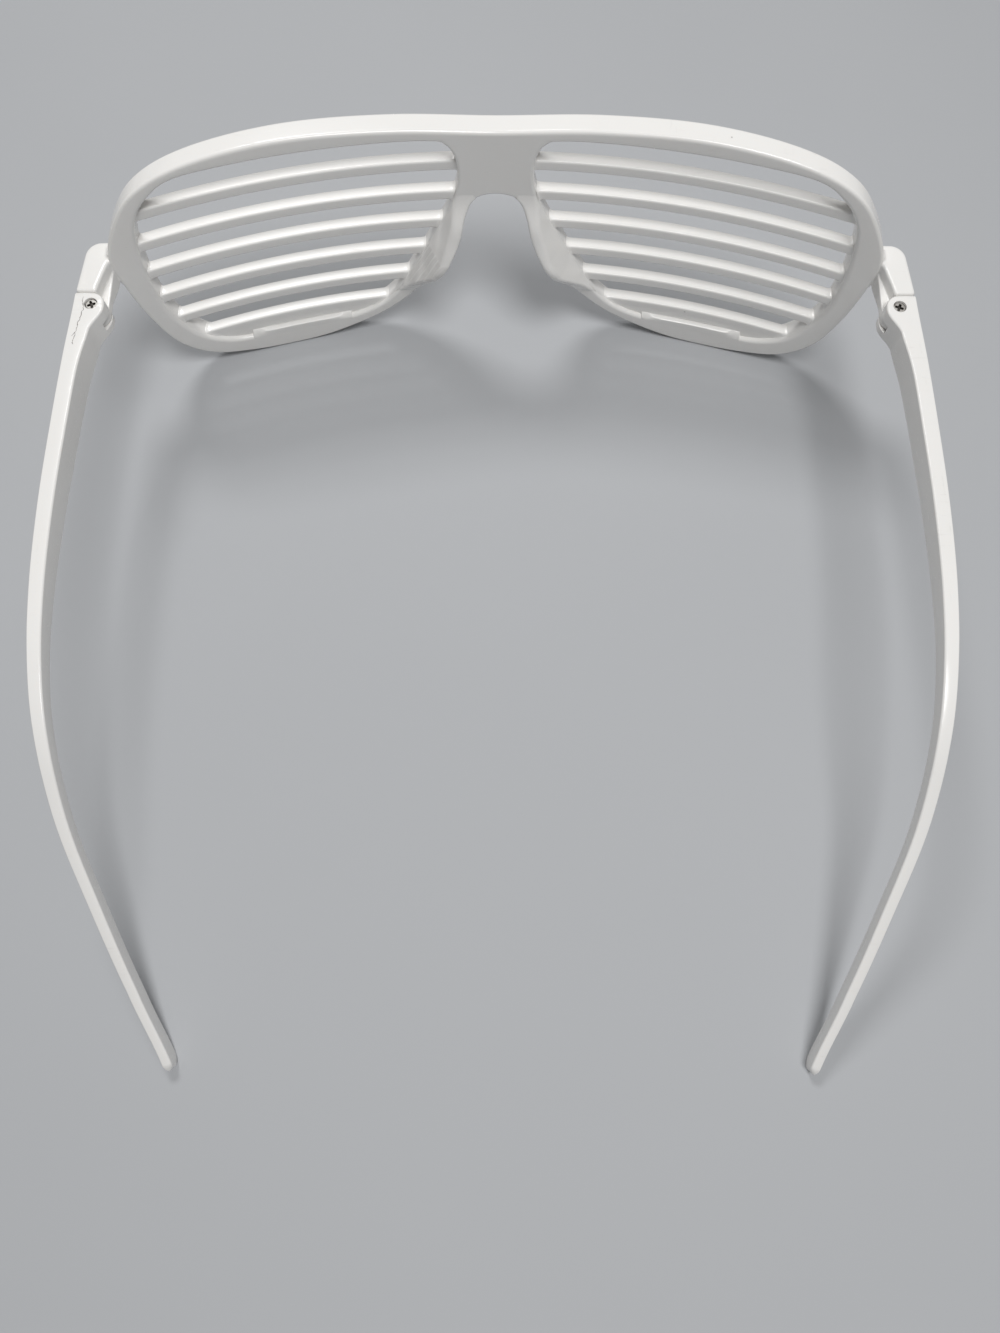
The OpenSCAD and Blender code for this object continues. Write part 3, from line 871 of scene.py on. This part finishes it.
def hinge_screw():
    """Small steel screw: shank, and a head with a cross recess."""
    head = prism("shaped_left_hinge_screw", screw_circle(HEAD_R), HEAD_Z - HEAD_T, HEAD_Z)
    round_edges(head, HEAD_EDGE, 3, 50)
    for turn in CROSS_TURNS:
        c, s = cos(radians(turn)), sin(radians(turn))
        bar = [(HINGE_X + u * c - v * s, HINGE_Y + u * s + v * c) for u, v in CROSS_BAR]
        cut(head, prism("cross", bar, HEAD_Z - CROSS_DEPTH, HEAD_Z + PAST))
    shank = prism("shank", screw_circle(SHANK_R, 24), HINGE_FOOT + SHANK_CLEAR,
                  HEAD_Z - HEAD_T / 2)
    round_edges(shank, SHANK_EDGE, 2, 50)
    join(head, shank)
    return head


# ------------------------------------------------------------------ the finishes

class Level:
    """A number that varies over a surface; the plain signs add the Math nodes."""

    def __init__(self, finish, socket):
        self.finish = finish
        self.socket = socket

    def math(self, operation, *terms):
        """Adds a Math node for the terms, each of them a Level or a number."""
        node = self.finish.add("ShaderNodeMath", {"operation": operation},
                               dict(enumerate(terms)))
        return Level(self.finish, node.outputs[0])

    def __add__(self, other):
        return self.math("ADD", self, other)

    def __sub__(self, other):
        return self.math("SUBTRACT", self, other)

    def __rsub__(self, other):
        return self.math("SUBTRACT", other, self)

    def __mul__(self, other):
        return self.math("MULTIPLY", self, other)

    def __truediv__(self, other):
        return self.math("DIVIDE", self, other)

    def __rtruediv__(self, other):
        return self.math("DIVIDE", other, self)

    def __abs__(self):
        return self.math("ABSOLUTE", self)

    def below(self, edge, soft):
        """1 under the edge, 0 over it, with a soft change."""
        node = self.finish.add("ShaderNodeMapRange", {"interpolation_type": "SMOOTHSTEP"},
                               {"Value": self, "From Min": edge - soft,
                                "From Max": edge + soft, "To Min": 1, "To Max": 0})
        return Level(self.finish, node.outputs["Result"])

    def above(self, edge, soft):
        """0 under the edge, 1 over it, with a soft change."""
        return 1 - self.below(edge, soft)

    def between(self, low, high):
        """0 up to low, 1 from high on, and even between them."""
        node = self.finish.add("ShaderNodeMapRange", {},
                               {"Value": self, "From Min": low, "From Max": high})
        return Level(self.finish, node.outputs["Result"])

    __radd__ = __add__
    __rmul__ = __mul__


class Finish:
    """One material, built node by node; the keywords set its shader's own sockets."""

    def __init__(self, name, **shader):
        self.material = bpy.data.materials.new(name)
        self.material.use_nodes = True
        self.nodes = self.material.node_tree.nodes
        self.links = self.material.node_tree.links
        self.shader = self.nodes["Principled BSDF"]
        for socket, value in shader.items():
            self.shader.inputs[socket.replace("_", " ")].default_value = value
        self.place = self.add("ShaderNodeTexCoord").outputs["Object"]
        axes = self.add("ShaderNodeSeparateXYZ", {}, {0: self.place})
        self.x, self.y, self.z = (Level(self, axes.outputs[n]) for n in range(3))

    def add(self, kind, settings=None, values=None):
        """Adds a node; a value that is a socket or a Level is linked, not set."""
        node = self.nodes.new(kind)
        for key, value in (settings or {}).items():
            setattr(node, key, value)
        for key, value in (values or {}).items():
            self.feed(node.inputs[key], value)
        return node

    def feed(self, socket, value):
        """Links a socket or a Level to the input, or sets the input to a plain value."""
        if isinstance(value, Level):
            value = value.socket
        if isinstance(value, bpy.types.NodeSocket):
            self.links.new(value, socket)
        else:
            socket.default_value = value

    def stretched(self, scale, turn=(0, 0, 0)):
        """The place on the piece, turned and then scaled along each axis."""
        return self.add("ShaderNodeMapping", {},
                        {"Vector": self.place, "Scale": scale,
                         "Rotation": turn}).outputs["Vector"]

    def noise(self, scale, detail, where=None, roughness=0.5):
        """Cloudy pattern, even in all directions unless a stretched place is given."""
        node = self.add("ShaderNodeTexNoise", {},
                        {"Vector": where or self.place, "Scale": scale,
                         "Detail": detail, "Roughness": roughness})
        return Level(self, node.outputs[0])

    def specks(self, scale, size, rare):
        """Small round dots in a few cells of a scattered pattern."""
        node = self.add("ShaderNodeTexVoronoi", {},
                        {"Vector": self.place, "Scale": scale})
        chance = self.add("ShaderNodeSeparateColor", {}, {0: node.outputs["Color"]})
        dot = Level(self, node.outputs["Distance"]).below(size, size * 0.4)
        return dot * Level(self, chance.outputs[0]).above(rare, 0.005)

    def mixed(self, share, first, second):
        """A colour between two, by the share of the second."""
        node = self.add("ShaderNodeMix", {"data_type": "RGBA"},
                        {"Factor": share, 6: first, 7: second})
        return node.outputs[2]

    def bump(self, height, depth):
        """Relief that only the light sees; depth is in metres, for a height of 1."""
        node = self.add("ShaderNodeBump", {},
                        {"Height": height, "Distance": depth, "Strength": 1})
        self.feed(self.shader.inputs["Normal"], node.outputs["Normal"])


WHITE = (0.84, 0.83, 0.81, 1)
WARM_WHITE = (0.815, 0.8, 0.775, 1)
SCUFF_GREY = (0.6, 0.585, 0.56, 1)
DUST_BROWN = (0.16, 0.14, 0.12, 1)
# Grey of a crack's line, and of the painted shade between a pad's ribs
LINE_AND_SHADE_GREY = (0.2, 0.18, 0.17, 1)
STEEL = (0.52, 0.505, 0.48, 1)
DULL_STEEL = (0.42, 0.41, 0.39, 1)
STAIN_BROWN = (0.2, 0.17, 0.15, 1)
# Near black of the painted shade in the screw head's cross recess
RECESS_SHADE_BLACK = (0.05, 0.045, 0.04, 1)
# Depth of each finish's bump
PLASTIC_RELIEF = 0.02 * MM
STEEL_RELIEF = 0.03 * MM
# Scale of the ribs' pattern, and the heights that the ribs, and the painted shade between
# them, run between
RIB_SCALE = 262
RIBS_FROM = PAD_FOOT + 1.5
RIBS_TO = PAD_FOOT + 13
# Half the crack's width, the sway of its line, and how far down the hinge it goes
CRACK_HALF = 0.055
CRACK_SWAY = 1.1
CRACK_DEPTH = 0.6
# How far below the head's face the screw is painted near black, as shade: in its cross
# recess, and on the head's sides and the shank below that depth
RECESS_SHADE_START = 0.14


def moulded_white(name, marks_and_shade=None):
    """Glossy white moulded plastic, a little scuffed from use.

    marks_and_shade(finish) may give two more Levels: how dark it paints the surface (a
    crack's line on one finish, painted shade between ribs on another), and its relief.
    """
    finish = Finish(name, IOR=1.46, Specular_IOR_Level=0.45, Subsurface_Weight=0.06,
                    Subsurface_Radius=(1, 0.9, 0.8), Subsurface_Scale=0.0008)
    cloud = finish.noise(55, 3)
    haze = finish.noise(420, 4, roughness=0.6)
    peel = finish.noise(900, 2)
    # Rubbed lines, long one way and thin the other, and only where it is cloudy
    rub = finish.noise(1, 3, finish.stretched((260, 2600, 2600), (0.3, 0.2, 0.7)))
    rub_cross = finish.noise(1, 3, finish.stretched((2400, 220, 2400), (0.5, 0.1, -0.4)))
    scuffs = rub.above(0.665, 0.02) + rub_cross.above(0.68, 0.02)
    scuffs = scuffs * cloud.above(0.5, 0.1)
    dust = finish.specks(230, 0.045, 0.93)
    tint = finish.mixed(cloud, WHITE, WARM_WHITE)
    tint = finish.mixed(scuffs * 0.25, tint, SCUFF_GREY)
    tint = finish.mixed(dust * 0.65, tint, DUST_BROWN)
    height = haze * 0.1 + peel * 0.08 - scuffs * 0.35
    if marks_and_shade:
        dark, dents = marks_and_shade(finish)
        # Painted shade on the pad's wall, and the dark line of a crack, both mixed in
        # with this grey
        tint = finish.mixed(dark, tint, LINE_AND_SHADE_GREY)
        height = height + dents
    finish.feed(finish.shader.inputs["Base Color"], tint)
    finish.feed(finish.shader.inputs["Roughness"],
                0.15 + haze * 0.05 + cloud * 0.06 + scuffs * 0.2 + dust * 0.2)
    finish.bump(height, PLASTIC_RELIEF)
    return finish.material


def flow_ribs_and_shade(finish):
    """Fine upright ribs on the lower half of a pad's wall, with painted shade darkening
    the plastic between them.
    """
    wave = finish.add("ShaderNodeTexWave", {"bands_direction": "Y"},
                      {"Vector": finish.place, "Scale": RIB_SCALE, "Distortion": 0.4,
                       "Detail": 1, "Detail Scale": 1})
    ribs = Level(finish, wave.outputs["Fac"]).above(0.8, 0.15)
    band = (finish.z.above(RIBS_FROM * MM, 0.3 * MM)
            * finish.z.below(RIBS_TO * MM, 0.3 * MM))
    # The first Level is painted shade between the ribs, leaving the ribs lighter; the
    # second is the ribs' relief
    return (1 - ribs) * band * 0.12, ribs * band * 2


def hinge_cracks(finish):
    """Hairline crack over the top edge, from the seam past the screw to a fork."""
    sway = (finish.noise(1100, 3) - 0.5) * (CRACK_SWAY * MM)
    from_seam = (finish.y + MID_Y * MM) / MM - HINGE_Y
    crack = 0
    for run in CRACK_RUNS:
        line = run[0][0]
        for (x0, y0), (x1, y1) in zip(run, run[1:]):
            line = line + from_seam.between(y0, y1) * (x1 - x0)
        off = (finish.x + sway) / MM - HINGE_X - line
        crack = crack + (abs(off).below(CRACK_HALF, 0.03)
                         * from_seam.above(run[0][1], 0.05)
                         * from_seam.below(run[-1][1], 0.1))
    crack = crack * finish.z.above((HINGE_TOP - CRACK_DEPTH) * MM, 0.2 * MM)
    return crack * 0.8, crack * -2


def screw_steel():
    """Small turned screw head, worn and a little stained, with painted shade in its cross
    recess.
    """
    finish = Finish("screw_steel", Metallic=1)
    cloud = finish.noise(900, 3)
    rings = finish.noise(1, 2, finish.stretched((1, 1, 9000)))
    stain = finish.noise(1600, 4, roughness=0.7).above(0.58, 0.08)
    tint = finish.mixed(cloud, STEEL, DULL_STEEL)
    tint = finish.mixed(stain * 0.6, tint, STAIN_BROWN)
    # Painted shade: everything on the screw lower than that depth turns near black, the
    # cross recess included
    recess = finish.z.below((HEAD_Z - RECESS_SHADE_START) * MM, 0.04 * MM)
    tint = finish.mixed(recess * 0.9, tint, RECESS_SHADE_BLACK)
    finish.feed(finish.shader.inputs["Base Color"], tint)
    finish.feed(finish.shader.inputs["Roughness"], 0.45 + cloud * 0.15 + stain * 0.3)
    finish.bump(cloud * 0.6 + rings * 0.4, STEEL_RELIEF)
    return finish.material


def dress(piece, material, body, *nodes):
    """Gives a piece its finish, and lets it stand for its nodes on its body."""
    piece.data.materials.clear()
    piece.data.materials.append(material)
    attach(piece, body)
    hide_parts(*nodes)


def paired(made):
    """A left piece and its mirror image on the right."""
    return made, mirrored(made, made.name.replace("left", "right"))


white = moulded_white("moulded_white")
ribbed_shaded_white = moulded_white("ribbed_shaded_white", flow_ribs_and_shade)
cracked_white = moulded_white("cracked_white", hinge_cracks)
steel = screw_steel()

piece = front_frame()
smooth(piece, MOULDING_SHARP)
dress(piece, white, "front", "brow_and_bridge", "left_rim", "right_rim")

left_pieces = [slat(n) for n in range(1, SLATS + 1)]
left_pieces += [lower_web(), nose_pad(), end_piece()]
for made in left_pieces:
    for piece in paired(made):
        smooth(piece, MOULDING_SHARP)
        dress(piece, ribbed_shaded_white if piece.name == "shaped_left_nose_pad" else white,
              "front", piece.name.removeprefix("shaped_"))

temples = ("left_temple", "right_temple")
for piece, body, finish in zip(paired(temple()), temples, (cracked_white, white)):
    smooth(piece, TEMPLE_SHARP)
    dress(piece, finish, body, body)

for piece, body in zip(paired(hinge_screw()), temples):
    smooth(piece, SCREW_SHARP)
    dress(piece, steel, body, piece.name.removeprefix("shaped_"))


# ---------------------------------------------------- floor, light and camera

# From here on lengths are in metres, in the shared frame
FLOOR_SIZE = 6
FLOOR_GREY = (0.42, 0.43, 0.445, 1)
FLOOR_PALE = (0.445, 0.455, 0.47, 1)
# Strength of the sky as a light, and as what the camera and the gloss see of it
SKY_LIGHT = 0.17
SKY_SEEN = 0.55
# Round lamps: place, aim, size, power in watts
LAMPS = {"key": ((0.12, -0.34, 0.55), (0, -0.02, 0.03), 0.16, 1.35),
         "top": ((-0.12, 0.17, 0.77), (0, 0.01, 0.03), 0.3, 3.6)}
# The photograph's viewpoint: its place, and its turn in degrees away from one that looks
# straight down with the glasses' front at the picture's top
CAMERA_PLACE = (-0.00168, 0.05819, 0.1897)
CAMERA_TILT = 15.91
CAMERA_YAW = 0.56
CAMERA_ROLL = 0.26
CAMERA_LENS = 27
SENSOR_WIDTH = 36
CLIP_START = 0.01


def pale_floor():
    """Even pale ground, a little cloudy."""
    bpy.ops.object.select_all(action="DESELECT")
    bpy.ops.mesh.primitive_plane_add(size=FLOOR_SIZE)
    piece = named("floor")
    finish = Finish("pale_floor")
    grain = finish.noise(14, 3)
    finish.feed(finish.shader.inputs["Base Color"],
                finish.mixed(grain, FLOOR_GREY, FLOOR_PALE))
    finish.feed(finish.shader.inputs["Roughness"], 0.7 + grain * 0.1)
    piece.data.materials.append(finish.material)


def pale_sky():
    """Soft light all round; the camera, gloss and glass see a paler backdrop instead."""
    world = bpy.context.scene.world or bpy.data.worlds.new("world")
    bpy.context.scene.world = world
    world.use_nodes = True
    nodes, links = world.node_tree.nodes, world.node_tree.links
    backdrop = nodes["Background"]
    backdrop.inputs["Color"].default_value = (1, 1, 1, 1)
    path = nodes.new("ShaderNodeLightPath")
    seen = path.outputs["Is Camera Ray"]
    for ray in ("Is Glossy Ray", "Is Transmission Ray"):
        either = nodes.new("ShaderNodeMath")
        either.operation = "MAXIMUM"
        links.new(seen, either.inputs[0])
        links.new(path.outputs[ray], either.inputs[1])
        seen = either.outputs[0]
    level = nodes.new("ShaderNodeMapRange")
    links.new(seen, level.inputs["Value"])
    level.inputs["To Min"].default_value = SKY_LIGHT
    level.inputs["To Max"].default_value = SKY_SEEN
    links.new(level.outputs["Result"], backdrop.inputs["Strength"])


def lamp(name, place, aim, size, power):
    """Round area light that faces its aim."""
    light = bpy.data.lights.new(name, "AREA")
    light.shape = "DISK"
    light.size = size
    light.energy = power
    holder = bpy.data.objects.new(name, light)
    bpy.context.scene.collection.objects.link(holder)
    holder.location = place
    ahead = Vector(aim) - Vector(place)
    holder.rotation_euler = ahead.to_track_quat("-Z", "Y").to_euler()


def camera():
    """Stands where the photograph was taken from, behind and above the glasses."""
    tilt, yaw, roll = (radians(a) for a in (CAMERA_TILT, CAMERA_YAW, CAMERA_ROLL))
    turn = Matrix.Rotation(yaw, 3, "Z")
    ahead = turn @ Vector((0, sin(tilt), -cos(tilt)))
    up = turn @ Vector((0, cos(tilt), sin(tilt)))
    right = turn @ Vector((1, 0, 0))
    up, right = (cos(roll) * up + sin(roll) * right, cos(roll) * right - sin(roll) * up)
    # A half turn about z brings these axes into the shared frame, where y runs back
    right, up, back = (Vector((-v.x, -v.y, v.z)) for v in (right, up, -ahead))
    eye = bpy.data.cameras.new("camera")
    eye.sensor_fit = "AUTO"
    eye.sensor_width = SENSOR_WIDTH
    eye.lens = CAMERA_LENS
    eye.clip_start = CLIP_START
    holder = bpy.data.objects.new("camera", eye)
    bpy.context.scene.collection.objects.link(holder)
    pose = Matrix((right, up, back)).transposed().to_4x4()
    pose.translation = Vector(CAMERA_PLACE)
    holder.matrix_world = pose
    bpy.context.scene.camera = holder


pale_floor()
for name, settings in LAMPS.items():
    lamp(name, *settings)
pale_sky()
bpy.context.scene.view_settings.view_transform = "Standard"
camera()
